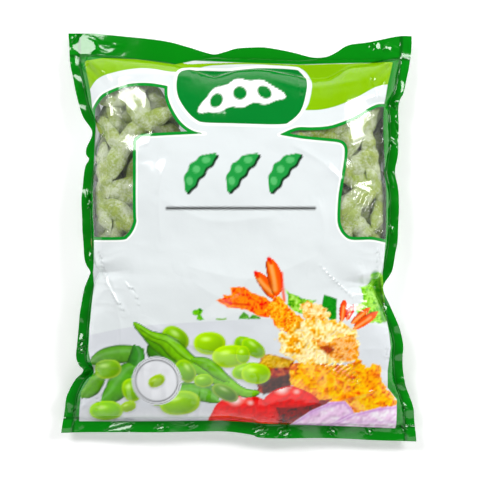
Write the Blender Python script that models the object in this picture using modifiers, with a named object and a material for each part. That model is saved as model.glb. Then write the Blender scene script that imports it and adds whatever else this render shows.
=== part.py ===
# A sealed film bag of frozen edamame pods, lying on its back with its printed front up.
# Metres, +Z up, +Y towards the bag's top edge. The origin is the middle of the footprint, at the underside.
import math
import random

import bpy
import numpy as np
from mathutils.bvhtree import BVHTree

MM = 0.001

# Film bag, in millimetres
HALF_WIDTH = 132.4
HALF_LENGTH = 152.2
FILM_THICKNESS = 0.3
SEAL_GAP = 0.3  # between the two films along the heat seals
SIDE_SEAL = 0.038  # the seals' widths, as parts of the bag's width and height
BOTTOM_SEAL = 0.037
TOP_SEAL = 0.057
CORNER_HEIGHT = 8.0  # height of the seal above the ground
SIDE_RISE = 11.0
END_RISE = 5.0
FRONT_BULGE = 30.0  # how far each film swells from the seal's level
BACK_BULGE = 36.0
SIDE_ROUNDNESS = 3.8
END_ROUNDNESS = 4.2
EDGE_STEEPNESS = 0.42
SEAL_RIPPLE = 1.2
RIPPLE_ALONG = 13.0  # how far a seal's ripple runs for one radian, up the sides and across the ends
RIPPLE_ACROSS = 15.0
COLUMNS = 20
ROWS = 24

# The outline: each edge's own points, left to right or bottom to top, in millimetres
LEFT_EDGE = [(-132.4, -145.8), (-126, -112), (-116, -99), (-120, -80), (-115, -40), (-110, -26), (-115.5, -2),
             (-115.5, 37), (-113, 64), (-108.5, 78), (-115.5, 89), (-123, 116), (-127.2, 152.2)]
RIGHT_EDGE = [(132.4, -152.2), (129, -123), (122, -95), (121.5, -75), (112, -50), (107, -37), (116.4, -10),
              (118.5, 26), (115.7, 48), (118.3, 70), (118.6, 98.5), (125, 120), (129, 150)]
BOTTOM_EDGE = [(-132.4, -145.8), (-54, -145), (-12, -144.5), (20, -149), (66, -149.5), (132.4, -152.2)]
TOP_EDGE = [(-127.2, 152.2), (-96, 151), (-57, 146), (-18, 136), (8, 141), (33, 139), (55, 133.5), (73, 138),
            (98, 145.5), (129, 150)]

# Pods, in millimetres
POD_LENGTH = 50.0
POD_WIDTH = 13.0
POD_THICKNESS = 9.0
POD_BEND = 2.5
BEAN_SWELL = 0.1
TIP_POWER = 0.5
POD_STATIONS = 9
POD_SIDES = 6
PIECE_GAP = 0.4
STEEPEST_POD = 0.7  # rise over run
LEAN_ALLOWANCE = 1.15  # a leaning pod's upright thickness over its own
MAP_STEP = 2.0
MAP_MARGIN = 0.75  # of a map step, round each station
OUT_OF_REACH = 1000.0

# Pods lying against the film behind the two clear windows: x, y, heading in degrees, length
LEFT_WINDOW_PODS = [(-66, 80, 29, 50), (-94, 52, -88, 40), (-94, 90, -82, 38), (-84, 33, 12, 42), (-94, 8, 86, 38),
                    (-81, 103, 84, 38), (-69, 103, -66, 38), (-80, 56, 74, 38), (-80, 16, -52, 40),
                    (-54, 98, -58, 44), (-74, 62, -20, 40), (-74, 0, 76, 40), (-62, 42, 80, 40)]
RIGHT_WINDOW_PODS = [(64, 75, 6, 46), (95, 84, -82, 38), (95, 50, -87, 40), (81, 40, -26, 38), (95, 10, 84, 40),
                     (80, 90, 64, 38), (79, 60, 60, 38), (80, 20, 40, 38), (76, 0, 78, 40),
                     (66, 100, 30, 44), (66, 54, -84, 44), (64, 16, 74, 40)]

# Loose pods: layers under the window pods, then a strip below each window
DEEP_LAYERS = 2
DEEP_ROWS = (96.0, 62.0, 28.0, -4.0)
DEEP_ROW_SHIFT = 7.0  # from one layer to the next
DEEP_MIDDLE = 82.0
DEEP_SPREAD = 4.0
DEEP_HEADINGS = (50.0, 130.0)
DEEP_LENGTH = 46.0
LOWER_PODS = 5
LOWER_TRIES = 3
LOWER_FROM, LOWER_TO = -112.0, -24.0
LOWER_MIDDLE = 84.0
LOWER_SPREAD = 11.0
LOWER_HEADINGS = (60.0, 120.0)
LOWER_LENGTH = 48.0

# Frozen clumps in the hidden middle: a grid of stacks of crossing pods
CLUMP_COLUMNS = (-31.0, 31.0)
CLUMP_ROWS = (-104.0, -56.0, -7.0, 42.0, 88.0)
CLUMP_HEADINGS = (-30.0, 59.0, 72.0, 85.0, -24.0)  # of each row's first pod
CLUMP_PODS = 5
CLUMP_POD_LENGTH = 44.0
CLUMP_TURN = 31.0
CLUMP_PITCH = 7.0

SEED = 11


def clear_scene():
    for item in list(bpy.data.objects):
        bpy.data.objects.remove(item, do_unlink=True)


def collection(name):
    made = bpy.data.collections.new(name)
    bpy.context.scene.collection.children.link(made)
    return made


def material(name, colour, roughness, metallic=0.0):
    made = bpy.data.materials.new(name)
    made.use_nodes = True
    shader = made.node_tree.nodes["Principled BSDF"]
    shader.inputs["Base Color"].default_value = (*colour, 1.0)
    shader.inputs["Roughness"].default_value = roughness
    shader.inputs["Metallic"].default_value = metallic
    return made


def mesh_object(name, points_mm, faces, finish, home):
    mesh = bpy.data.meshes.new(name)
    mesh.from_pydata([tuple(value * MM for value in point) for point in points_mm], [], faces)
    mesh.materials.append(finish)
    mesh.update()
    made = bpy.data.objects.new(name, mesh)
    home.objects.link(made)
    return made


def smooth_curve(points, steps=24):
    """A Catmull-Rom curve through the points, as an array."""
    ends = [points[0], *points, points[-1]]
    samples = []
    for a, b, c, d in zip(ends, ends[1:], ends[2:], ends[3:]):
        a, b, c, d = (np.array(point, float) for point in (a, b, c, d))
        for t in np.arange(steps) / steps:
            samples.append(0.5 * (2 * b + (c - a) * t + (2 * a - 5 * b + 4 * c - d) * t**2
                                  + (3 * b - a - 3 * c + d) * t**3))
    samples.append(np.array(points[-1], float))
    return np.array(samples)


def edge_point(curve, along, share):
    """The point a share of the way along an edge, measured on one axis."""
    ticks = curve[:, along]
    at = ticks[0] + share * (ticks[-1] - ticks[0])
    return np.array([np.interp(at, ticks, curve[:, 0]), np.interp(at, ticks, curve[:, 1])])


def bag_outline():
    return {
        "left": smooth_curve(LEFT_EDGE),
        "right": smooth_curve(RIGHT_EDGE),
        "bottom": smooth_curve(BOTTOM_EDGE),
        "top": smooth_curve(TOP_EDGE),
    }


def outline_patch(edges, u, v):
    """A point inside the four edges (a Coons patch)."""
    left, right = edge_point(edges["left"], 1, v), edge_point(edges["right"], 1, v)
    bottom, top = edge_point(edges["bottom"], 0, u), edge_point(edges["top"], 0, u)
    corners = ((1 - u) * (1 - v) * edges["bottom"][0] + u * (1 - v) * edges["bottom"][-1]
               + (1 - u) * v * edges["top"][0] + u * v * edges["top"][-1])
    return (1 - u) * left + u * right + (1 - v) * bottom + v * top - corners


def seal_height(x, y):
    across, along = min(abs(x) / HALF_WIDTH, 1), min(abs(y) / HALF_LENGTH, 1)
    ripple = SEAL_RIPPLE * (across**4 * math.sin(y / RIPPLE_ALONG) + along**4 * math.sin(x / RIPPLE_ACROSS))
    return CORNER_HEIGHT + SIDE_RISE * (1 - along**2) + END_RISE * (1 - across**2) + ripple


def swell(u, v):
    """0 on the heat seals, 1 in the bag's middle."""
    across = min(abs(u - 0.5) / (0.5 - SIDE_SEAL), 1)
    middle = (BOTTOM_SEAL + 1 - TOP_SEAL) / 2
    along = min(abs(v - middle) / (middle - BOTTOM_SEAL), 1)
    return ((1 - across**SIDE_ROUNDNESS) * (1 - along**END_ROUNDNESS)) ** EDGE_STEEPNESS


def grid_shares(count, first, last):
    """Shares from 0 to 1 whose inner part starts on the seals and is closer spaced near them."""
    inner = (1 - np.cos(np.linspace(0, math.pi, count - 1))) / 2
    inner = 0.5 * inner + 0.5 * np.linspace(0, 1, count - 1)
    return [0.0, *(first + inner * (1 - first - last)), 1.0]


def film(name, edges, front, finish, home):
    """One film: an open sheet over the whole outline, thickened outwards."""
    points = []
    for v in grid_shares(ROWS, BOTTOM_SEAL, TOP_SEAL):
        for u in grid_shares(COLUMNS, SIDE_SEAL, SIDE_SEAL):
            x, y = outline_patch(edges, u, v)
            level = seal_height(x, y)
            if front:
                z = level + SEAL_GAP / 2 + FRONT_BULGE * swell(u, v)
            else:
                z = max(level - SEAL_GAP / 2 - BACK_BULGE * swell(u, v), FILM_THICKNESS)
            points.append((x, y, z))
    width = COLUMNS + 1
    faces = []
    for row in range(ROWS):
        for column in range(COLUMNS):
            first = row * width + column
            face = (first, first + 1, first + width + 1, first + width)
            faces.append(face if front else face[::-1])
    made = mesh_object(name, points, faces, finish, home)
    made.data.shade_smooth()
    thicken = made.modifiers.new("film_thickness", "SOLIDIFY")
    thicken.thickness = FILM_THICKNESS * MM
    thicken.offset = 1.0
    return made, points, faces


class PackingSpace:
    """The room left between the films, as a ceiling and a floor over a fine grid of the footprint."""

    def __init__(self, front, back):
        self.x, self.y = np.meshgrid(np.arange(-132, HALF_WIDTH, MAP_STEP), np.arange(-152, HALF_LENGTH, MAP_STEP))
        self.ceiling = self.levels(front, -OUT_OF_REACH)
        self.floor = self.levels(back, OUT_OF_REACH)

    def levels(self, sheet, missing):
        tree = BVHTree.FromPolygons(sheet[0], sheet[1])
        found = np.full(self.x.shape, missing)
        for place in np.ndindex(self.x.shape):
            hit = tree.ray_cast((self.x[place], self.y[place], OUT_OF_REACH), (0.0, 0.0, -1.0))[0]
            if hit is not None:
                found[place] = hit[2]
        return found

    def disc(self, x, y, radius):
        return (self.x - x) ** 2 + (self.y - y) ** 2 <= (radius + MAP_MARGIN * MAP_STEP) ** 2

    def fit_under(self, pod):
        """Puts the pod as high as it goes, leaning with what is above it. True where it also clears the floor."""
        discs = [self.disc(x, y, half) for x, y, half in zip(pod.x, pod.y, pod.half_width)]
        if any(not disc.any() for disc in discs):
            return False
        room = np.array([self.ceiling[disc].min() for disc in discs]) - pod.half_thickness * LEAN_ALLOWANCE - PIECE_GAP
        lean = np.polyfit(pod.along, room, 1)[0]
        lean = max(-STEEPEST_POD, min(STEEPEST_POD, lean))
        pod.z = (room - lean * pod.along).min() + lean * pod.along
        return self.clears_floor(pod, discs)

    def clears_floor(self, pod, discs=None):
        discs = discs or [self.disc(x, y, half) for x, y, half in zip(pod.x, pod.y, pod.half_width)]
        depth = pod.z - pod.half_thickness * LEAN_ALLOWANCE - PIECE_GAP
        return all(level > self.floor[disc].max() for level, disc in zip(depth, discs))

    def under_ceiling(self, pod):
        discs = [self.disc(x, y, half) for x, y, half in zip(pod.x, pod.y, pod.half_width)]
        height = pod.z + pod.half_thickness * LEAN_ALLOWANCE + PIECE_GAP
        return all(disc.any() and level < self.ceiling[disc].min() for level, disc in zip(height, discs))

    def take(self, pod):
        """What is placed later goes under this pod."""
        for x, y, z, half, thick in zip(pod.x, pod.y, pod.z, pod.half_width, pod.half_thickness):
            disc = self.disc(x, y, half)
            self.ceiling[disc] = np.minimum(self.ceiling[disc], z - thick - PIECE_GAP)


class Pod:
    """One pod's stations along its gently bent middle line."""

    def __init__(self, x, y, heading, length=POD_LENGTH, bend=POD_BEND, beans=3):
        share = np.linspace(0, 1, POD_STATIONS + 2)
        self.along = (share - 0.5) * length
        self.aside = bend * (1 - (2 * share - 1) ** 2)
        turn = math.radians(heading)
        self.x = x + self.along * math.cos(turn) - self.aside * math.sin(turn)
        self.y = y + self.along * math.sin(turn) + self.aside * math.cos(turn)
        self.z = np.zeros_like(share)
        girth = np.sin(math.pi * share).clip(0) ** TIP_POWER
        girth *= 1 + BEAN_SWELL * np.cos(2 * math.pi * beans * (share - 0.5) + math.pi * (beans - 1))
        self.half_width = girth * POD_WIDTH / 2
        self.half_thickness = girth * POD_THICKNESS / 2
        self.side = np.array([-math.sin(turn), math.cos(turn)])

    def build(self, name, finish, home):
        """A loft through the stations' oval rings, closed to a point at both tips."""
        points = [(self.x[0], self.y[0], self.z[0])]
        for station in range(1, POD_STATIONS + 1):
            for corner in range(POD_SIDES):
                turn = 2 * math.pi * corner / POD_SIDES
                reach = self.half_width[station] * math.cos(turn)
                points.append((self.x[station] + reach * self.side[0], self.y[station] + reach * self.side[1],
                               self.z[station] + self.half_thickness[station] * math.sin(turn)))
        points.append((self.x[-1], self.y[-1], self.z[-1]))
        last = len(points) - 1
        faces = []
        for corner in range(POD_SIDES):
            after = (corner + 1) % POD_SIDES
            faces.append((0, 1 + after, 1 + corner))
            faces.append((last, last - POD_SIDES + corner, last - POD_SIDES + after))
            for station in range(POD_STATIONS - 1):
                ring = 1 + station * POD_SIDES
                faces.append((ring + corner, ring + after, ring + POD_SIDES + after, ring + POD_SIDES + corner))
        made = mesh_object(name, points, faces, finish, home)
        made.data.shade_smooth()
        return made


def place_window_pods(space, finish, home):
    for side, rows in (("left", LEFT_WINDOW_PODS), ("right", RIGHT_WINDOW_PODS)):
        placed = 0
        for number, (x, y, heading, length) in enumerate(rows):
            pod = Pod(x, y, heading, length, POD_BEND * (-1) ** number, beans=2 + number % 2)
            if space.fit_under(pod):
                space.take(pod)
                placed += 1
                pod.build(f"pod_{side}_{placed:02d}", finish, home)


def place_clumps(space, finish, home, makers):
    """Pods frozen into lumps: each crosses the one above it and is fused to it."""
    number = 0
    for x in CLUMP_COLUMNS:
        for y, heading in zip(CLUMP_ROWS, CLUMP_HEADINGS):
            first = Pod(x, y, heading, CLUMP_POD_LENGTH)
            if not space.fit_under(first):
                continue
            stack = [first]
            for level in range(1, CLUMP_PODS):
                pod = Pod(x, y, heading + level * CLUMP_TURN, CLUMP_POD_LENGTH)
                pod.z = np.full_like(pod.z, first.z[POD_STATIONS // 2 + 1] - level * CLUMP_PITCH)
                if not (space.clears_floor(pod) and space.under_ceiling(pod)):
                    break
                stack.append(pod)
            number += 1
            base = stack[0].build(f"frozen_clump_{number:02d}", finish, home)
            for level, pod in enumerate(stack[1:], 2):
                member = pod.build(f"clump_{number:02d}_member_{level}", finish, makers)
                member.hide_render = True
                member.display_type = "WIRE"
                fuse = base.modifiers.new(f"fuse_{level}", "BOOLEAN")
                fuse.operation = "UNION"
                fuse.solver = "EXACT"
                fuse.object = member
            for pod in stack:
                space.take(pod)


def place_loose_pods(space, finish, home, dice):
    """Pods under the window pods, then pods beside the clumps below the windows."""
    for side, name in ((-1, "left"), (1, "right")):
        deep = 0
        for layer in range(DEEP_LAYERS):
            for y in DEEP_ROWS:
                x = side * (DEEP_MIDDLE + dice.uniform(-DEEP_SPREAD, DEEP_SPREAD))
                pod = Pod(x, y + DEEP_ROW_SHIFT * layer, dice.uniform(*DEEP_HEADINGS), DEEP_LENGTH)
                if space.fit_under(pod):
                    space.take(pod)
                    deep += 1
                    pod.build(f"pod_deep_{name}_{deep:02d}", finish, home)
        low = 0
        for step in range(LOWER_TRIES * LOWER_PODS):
            share = (step % LOWER_PODS + 0.5) / LOWER_PODS
            y = LOWER_FROM + share * (LOWER_TO - LOWER_FROM)
            x = side * (LOWER_MIDDLE + dice.uniform(-1, 1) * LOWER_SPREAD)
            pod = Pod(x, y, dice.uniform(*LOWER_HEADINGS), LOWER_LENGTH)
            if low < LOWER_PODS and space.fit_under(pod):
                space.take(pod)
                low += 1
                pod.build(f"pod_low_{name}_{low:02d}", finish, home)


def main():
    clear_scene()
    bag = collection("frozen_edamame_bag")
    makers = collection("clump_members")
    front_print = material("front_print", (0.02, 0.30, 0.05), 0.25)
    back_print = material("back_print", (0.02, 0.28, 0.05), 0.25)
    pod_skin = material("pod_skin", (0.42, 0.46, 0.16), 0.6)
    edges = bag_outline()
    _, *front = film("front_film", edges, True, front_print, bag)
    _, *back = film("back_film", edges, False, back_print, bag)
    space = PackingSpace(front, back)
    place_window_pods(space, pod_skin, bag)
    place_clumps(space, pod_skin, bag, makers)
    place_loose_pods(space, pod_skin, bag, random.Random(SEED))
    names = [item.name for item in bag.objects]
    print(len(names), "pieces:", ", ".join(names))


main()
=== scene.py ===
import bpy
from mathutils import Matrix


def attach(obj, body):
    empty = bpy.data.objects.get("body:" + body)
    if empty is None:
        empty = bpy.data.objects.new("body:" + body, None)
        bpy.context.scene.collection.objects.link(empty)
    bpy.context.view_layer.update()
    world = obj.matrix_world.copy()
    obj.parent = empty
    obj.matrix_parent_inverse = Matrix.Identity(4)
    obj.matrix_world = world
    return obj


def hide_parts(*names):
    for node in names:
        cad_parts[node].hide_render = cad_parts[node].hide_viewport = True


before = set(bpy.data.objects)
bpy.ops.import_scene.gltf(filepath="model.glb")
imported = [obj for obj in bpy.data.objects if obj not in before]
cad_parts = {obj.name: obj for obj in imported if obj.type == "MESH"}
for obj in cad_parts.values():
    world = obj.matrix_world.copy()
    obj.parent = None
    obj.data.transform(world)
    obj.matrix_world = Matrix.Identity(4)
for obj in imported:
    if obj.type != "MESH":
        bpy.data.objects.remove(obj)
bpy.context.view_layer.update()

import math
import random

import bpy
import numpy as np
from mathutils import Vector, noise
from mathutils.bvhtree import BVHTree

mm = 0.001


def toLinear(hexColour):
    # sRGB hex to the linear values that Blender's sockets hold
    values = [int(hexColour[i:i + 2], 16) / 255 for i in (1, 3, 5)]
    return [v / 12.92 if v <= 0.04045 else ((v + 0.055) / 1.055) ** 2.4 for v in values]


def addNode(tree, kind, inputs=None, **settings):
    node = tree.nodes.new(kind)
    for name, value in settings.items():
        setattr(node, name, value)
    for key, value in (inputs or {}).items():
        socket = node.inputs[key]
        if isinstance(value, bpy.types.NodeSocket):
            tree.links.new(value, socket)
        else:
            socket.default_value = value
    return node


def newMaterial(name):
    made = bpy.data.materials.new(name)
    made.use_nodes = True
    made.node_tree.nodes.clear()
    return made, made.node_tree


def finishMaterial(tree, shader):
    addNode(tree, "ShaderNodeOutputMaterial", {"Surface": shader})


def meshPiece(name, points, faces, material):
    mesh = bpy.data.meshes.new(name)
    mesh.from_pydata((np.asarray(points) * mm).tolist(), [], faces)
    mesh.materials.append(material)
    piece = bpy.data.objects.new(name, mesh)
    bpy.context.scene.collection.objects.link(piece)
    mesh.shade_smooth()
    return piece


def smoothCurve(points, steps=16, closed=False):
    # Catmull-Rom through the points
    points = [np.array(p, float) for p in points]
    ends = [points[-1], *points, points[0], points[1]] if closed else [points[0], *points, points[-1]]
    samples = []
    for a, b, c, d in zip(ends, ends[1:], ends[2:], ends[3:]):
        for t in np.arange(steps) / steps:
            samples.append(0.5 * (2 * b + (c - a) * t + (2 * a - 5 * b + 4 * c - d) * t**2
                                  + (3 * b - a - 3 * c + d) * t**3))
    if not closed:
        samples.append(points[-1])
    return np.array(samples)


def distanceTo(x, y, line):
    # from each point to the nearest place on a line of points
    best = np.full(x.shape, 1e9)
    for (ax, ay), (bx, by) in zip(line, line[1:]):
        ex, ey = bx - ax, by - ay
        share = np.clip(((x - ax) * ex + (y - ay) * ey) / max(ex * ex + ey * ey, 1e-9), 0, 1)
        best = np.minimum(best, np.hypot(x - ax - share * ex, y - ay - share * ey))
    return best


def signedDistance(x, y, outline):
    # to a closed polyline, below zero inside
    best = np.full(x.shape, 1e9)
    inside = np.zeros(x.shape, bool)
    for (ax, ay), (bx, by) in zip(outline, np.roll(outline, -1, axis=0)):
        ex, ey = bx - ax, by - ay
        share = np.clip(((x - ax) * ex + (y - ay) * ey) / max(ex * ex + ey * ey, 1e-9), 0, 1)
        best = np.minimum(best, (x - ax - share * ex) ** 2 + (y - ay - share * ey) ** 2)
        crosses = (ay > y) != (by > y)
        if abs(ey) > 1e-9:
            inside ^= crosses & (x < (y - ay) * ex / ey + ax)
    return np.where(inside, -1, 1) * np.sqrt(best)


def sealDistance(u, v):
    # across the film to the nearest heat seal's inner edge, in mm
    uu, vv = np.meshgrid(u, v)
    side = abs(np.minimum(uu, 1 - uu) - bag["sideSeal"]) * bag["width"]
    end = np.minimum(abs(vv - bag["bottomSeal"]), abs(1 - vv - bag["topSeal"])) * bag["length"]
    return np.minimum(side, end)


def grain(x, y, size, seed):
    # smooth value noise from 0 to 1, with features of about that size in mm
    rng = np.random.default_rng(seed)
    table = rng.random((64, 64))
    gx, gy = x / size + 1000, y / size + 1000
    ix, iy = np.floor(gx).astype(int), np.floor(gy).astype(int)
    fx, fy = gx - ix, gy - iy
    fx, fy = fx * fx * (3 - 2 * fx), fy * fy * (3 - 2 * fy)
    a, b = table[iy % 64, ix % 64], table[iy % 64, (ix + 1) % 64]
    c, d = table[(iy + 1) % 64, ix % 64], table[(iy + 1) % 64, (ix + 1) % 64]
    return (a * (1 - fx) + b * fx) * (1 - fy) + (c * (1 - fx) + d * fx) * fy


def smoothStep(value, low, high):
    share = np.clip((value - low) / (high - low), 0, 1)
    return share * share * (3 - 2 * share)


camera = {"height": 1.5, "lens": 149.9, "x": 0.0009, "y": -0.0020}


def makeCamera():
    data = bpy.data.cameras.new("camera")
    data.lens = camera["lens"]
    data.sensor_width = 36
    data.clip_end = 20
    holder = bpy.data.objects.new("camera", data)
    holder.location = (camera["x"], camera["y"], camera["height"])
    bpy.context.scene.collection.objects.link(holder)
    bpy.context.scene.camera = holder


studio = {
    "key": {"place": (-0.75, 0.85, 1.15), "size": 0.5, "power": 13.5},
    "fill": {"place": (0.95, 0.55, 1.0), "size": 0.42, "power": 11},
    "front": {"place": (0.1, -1.1, 1.1), "size": 0.9, "power": 5},
    "skyFrom": 0.25,  # the sky dims between these heights on its dome
    "skyTo": 0.62,
    "skyHigh": 0.10,
    "skyLow": 0.95,
    "floor": "#fbfbfb",
    "tableGlow": 0.22,  # a light table, so the shadow stays faint
}


def areaLight(name, setup):
    data = bpy.data.lights.new(name, "AREA")
    data.shape = "SQUARE"
    data.size = setup["size"]
    data.energy = setup["power"]
    lamp = bpy.data.objects.new(name, data)
    lamp.location = setup["place"]
    lamp.rotation_euler = Vector(setup["place"]).to_track_quat("Z", "Y").to_euler()
    bpy.context.scene.collection.objects.link(lamp)


def makeStudio():
    for name in ("key", "fill", "front"):
        areaLight(name, studio[name])
    world = bpy.data.worlds.new("studio")
    bpy.context.scene.world = world
    world.use_nodes = True
    tree = world.node_tree
    tree.nodes.clear()
    where = addNode(tree, "ShaderNodeTexCoord")
    split = addNode(tree, "ShaderNodeSeparateXYZ", {0: where.outputs["Generated"]})
    height = addNode(tree, "ShaderNodeMapRange", {"Value": split.outputs["Z"], "From Min": studio["skyFrom"],
                                                  "From Max": studio["skyTo"], "To Min": studio["skyLow"],
                                                  "To Max": studio["skyHigh"]})
    sky = addNode(tree, "ShaderNodeBackground", {"Color": (1, 1, 1, 1), "Strength": height.outputs[0]})
    addNode(tree, "ShaderNodeOutputWorld", {"Surface": sky.outputs[0]})
    # matt paper: an even white ground that mirrors nothing
    paper, tree = newMaterial("white studio paper")
    shader = addNode(tree, "ShaderNodeBsdfPrincipled", {"Base Color": (*toLinear(studio["floor"]), 1),
                                                        "Roughness": 0.9, "Specular IOR Level": 0.1,
                                                        "Emission Color": (1, 1, 1, 1),
                                                        "Emission Strength": studio["tableGlow"]})
    finishMaterial(tree, shader.outputs[0])
    floor = meshPiece("floor", [(-3000, -3000, 0), (3000, -3000, 0), (3000, 3000, 0), (-3000, 3000, 0)],
                      [(0, 1, 2, 3)], paper)
    bpy.context.scene.view_settings.view_transform = "Standard"


bag = { "columns": 290, "rowStep": 0.78, "coarseRowStep": 1.15, "pictureTop": -12.0,
       "leftEdge": [(-132.4, -145.8), (-129.4, -126.5), (-127.6, -117), (-122, -106.3), (-116, -100.4),
                    (-115.6, -97.5), (-118.8, -94.8), (-120.9, -88.5), (-119.8, -78), (-117.5, -55),
                    (-114.5, -38.6), (-110.4, -28), (-110.1, -25), (-113.8, -17.7), (-115.3, -2),
                    (-116.4, 26), (-115.7, 37), (-113.8, 52), (-110.9, 57.6), (-113.2, 61.5),
                    (-112.8, 66.5), (-108.6, 77.7), (-115.2, 88.8), (-119, 99.3), (-122.7, 115.7),
                    (-125.7, 130.6), (-127.2, 152.2)], "rightEdge": [(132.4, -152.2), (130.7, -135.4),
                                                                     (129.8, -126.5), (126.8, -117.5),
                                                                     (123.1, -107), (121.6, -90.7),
                                                                     (122, -80), (120, -70), (116.8, -61.6),
                                                                     (111.6, -49.7), (107.5, -41.5),
                                                                     (106.8, -36.3), (108.4, -33),
                                                                     (113.4, -25), (116.4, -10),
                                                                     (117.6, -2), (118.6, 26),
                                                                     (117.9, 36.7), (115.7, 48),
                                                                     (117.9, 61), (118.6, 78),
                                                                     (118.6, 98.5), (122.4, 107.5),
                                                                     (125.3, 120), (128.3, 135.8),
                                                                     (129, 150)],
       "bottomEdge": [(-132.4, -145.8), (-96, -145.1), (-54, -145), (-12.5, -144.4), (8.4, -146.6),
                      (19.6, -149.3), (66.5, -149.6), (98, -151), (132.4, -152.2)],
       "topEdge": [(-127.2, 152.2), (-109.3, 152.2), (-96, 150.7), (-57, 146.2), (-38.6, 141.7),
                   (-25, 137.3), (-17.7, 135.8), (-9.5, 138), (-2, 140.2), (8.4, 141), (19.6, 141),
                   (33, 138.8), (43.4, 136.5), (55.3, 133.5), (65.7, 134.3), (73.2, 138), (82, 143.2),
                   (98, 145.5), (118.6, 149.9), (129, 150)], "halfWidth": 132.4, "halfLength": 152.2,
       "width": 235, "length": 295, "rowsFrom": -149, "rowsTo": 144, "sideSeal": 0.030, "bottomSeal": 0.037,
       "topSeal": 0.057, "cornerHeight": 8.0, "sideRise": 11.0, "endRise": 5.0, "frontBulge": 30.0,
       "backBulge": 36.0, "sideRoundness": 3.8, "endRoundness": 4.2, "edgeSteepness": 0.42,
       "filmOffset": 0.3, "ripple": 1.2, "rippleUpSides": 13, "rippleAcrossEnds": 15, "sag": 1.6,
       "filmClearance": 0.45, "settleSteps": 260, "settlePull": 0.015, "leastHeight": 0.4,
       "backColumns": 150, "backRows": 170, "layoutCorner": (133, 153), "layoutSpan": 306, }


def edgePoint(curve, along, share):
    ticks = curve[:, along]
    at = ticks[0] + share * (ticks[-1] - ticks[0])
    return np.stack([np.interp(at, ticks, curve[:, 0]), np.interp(at, ticks, curve[:, 1])], axis=-1)


def outlinePatch(u, v):
    # every point of the flat bag between its four edges
    left, right = smoothCurve(bag["leftEdge"]), smoothCurve(bag["rightEdge"])
    bottom, top = smoothCurve(bag["bottomEdge"]), smoothCurve(bag["topEdge"])
    uu, vv = np.meshgrid(u, v)
    uu, vv = uu[..., None], vv[..., None]
    corners = ((1 - uu) * (1 - vv) * bottom[0] + uu * (1 - vv) * bottom[-1]
               + (1 - uu) * vv * top[0] + uu * vv * top[-1])
    patch = ((1 - uu) * edgePoint(left, 1, v)[:, None] + uu * edgePoint(right, 1, v)[:, None]
             + (1 - vv) * edgePoint(bottom, 0, u)[None] + vv * edgePoint(top, 0, u)[None] - corners)
    return patch[..., 0], patch[..., 1]


def sealLevel(x, y):
    across, along = np.minimum(abs(x) / bag["halfWidth"], 1), np.minimum(abs(y) / bag["halfLength"], 1)
    ripple = across**4 * np.sin(y / bag["rippleUpSides"]) + along**4 * np.sin(x / bag["rippleAcrossEnds"])
    return (bag["cornerHeight"] + bag["sideRise"] * (1 - along**2) + bag["endRise"] * (1 - across**2)
            + bag["ripple"] * ripple)


def swell(u, v):
    across = np.minimum(abs(u - 0.5) / (0.5 - bag["sideSeal"]), 1)
    middle = (bag["bottomSeal"] + 1 - bag["topSeal"]) / 2
    along = np.minimum(abs(v - middle) / (middle - bag["bottomSeal"]), 1)
    return ((1 - across ** bag["sideRoundness"]) * (1 - along ** bag["endRoundness"])) ** bag["edgeSteepness"]


class Sheet:
    # one film as a grid of points in mm
    def __init__(self, columns, rows, front):
        self.u, self.v = np.linspace(0, 1, columns), rows
        self.x, self.y = outlinePatch(self.u, self.v)
        uu, vv = np.meshgrid(self.u, self.v)
        self.swell = swell(uu, vv)
        level = sealLevel(self.x, self.y)
        if front:
            self.z = level + bag["filmOffset"] + bag["frontBulge"] * self.swell
        else:
            self.z = np.maximum(level - bag["filmOffset"] - bag["backBulge"] * self.swell, 0.0)

    def faces(self, up):
        rows, columns = self.x.shape
        index = np.arange(rows * columns).reshape(rows, columns)
        quads = np.stack([index[:-1, :-1], index[:-1, 1:], index[1:, 1:], index[1:, :-1]],
                         axis=-1).reshape(-1, 4)
        return (quads if up else quads[:, ::-1]).tolist()

    def points(self):
        return np.stack([self.x, self.y, self.z], axis=-1).reshape(-1, 3)


def frontRows():
    # closer rows where the picture is
    span = bag["rowsTo"] - bag["rowsFrom"]
    split = (bag["pictureTop"] - bag["rowsFrom"]) / span
    fine = np.arange(0, split, bag["rowStep"] / span)
    coarse = np.linspace(split, 1, int((1 - split) * span / bag["coarseRowStep"]))
    return np.concatenate([fine, coarse])


def settleOnPods(sheet, podTops):
    # the film bridges from pod to pod, drawn down a little and held up by what it covers
    base = sheet.z.copy()
    drop = np.zeros_like(base)
    rest = np.where(sheet.swell > 0, -bag["sag"] * sheet.swell, 0)
    least = podTops + bag["filmClearance"] - base
    for _ in range(bag["settleSteps"]):
        around = drop.copy()
        around[1:-1, 1:-1] = (drop[:-2, 1:-1] + drop[2:, 1:-1] + drop[1:-1, :-2] + drop[1:-1, 2:]) / 4
        pulled = (1 - bag["settlePull"]) * around + bag["settlePull"] * rest
        drop = np.where(sheet.swell > 0, np.maximum(pulled, least), 0)
    sheet.z = base + drop


def heightsOf(pieces, x, y, missing=-1000.0):
    # the highest point of the pieces over each place, in mm
    heights = np.full(x.shape, missing)
    points, faces = [], []
    for piece in pieces:
        offset = len(points)
        points.extend(v.co[:] for v in piece.data.vertices)
        faces.extend([offset + i for i in p.vertices] for p in piece.data.polygons)
    tree = BVHTree.FromPolygons(points, faces)
    for place in np.ndindex(x.shape):
        hit = tree.ray_cast((x[place] * mm, y[place] * mm, 0.5), (0, 0, -1))[0]
        if hit is not None:
            heights[place] = hit[2] / mm
    return heights


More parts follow.
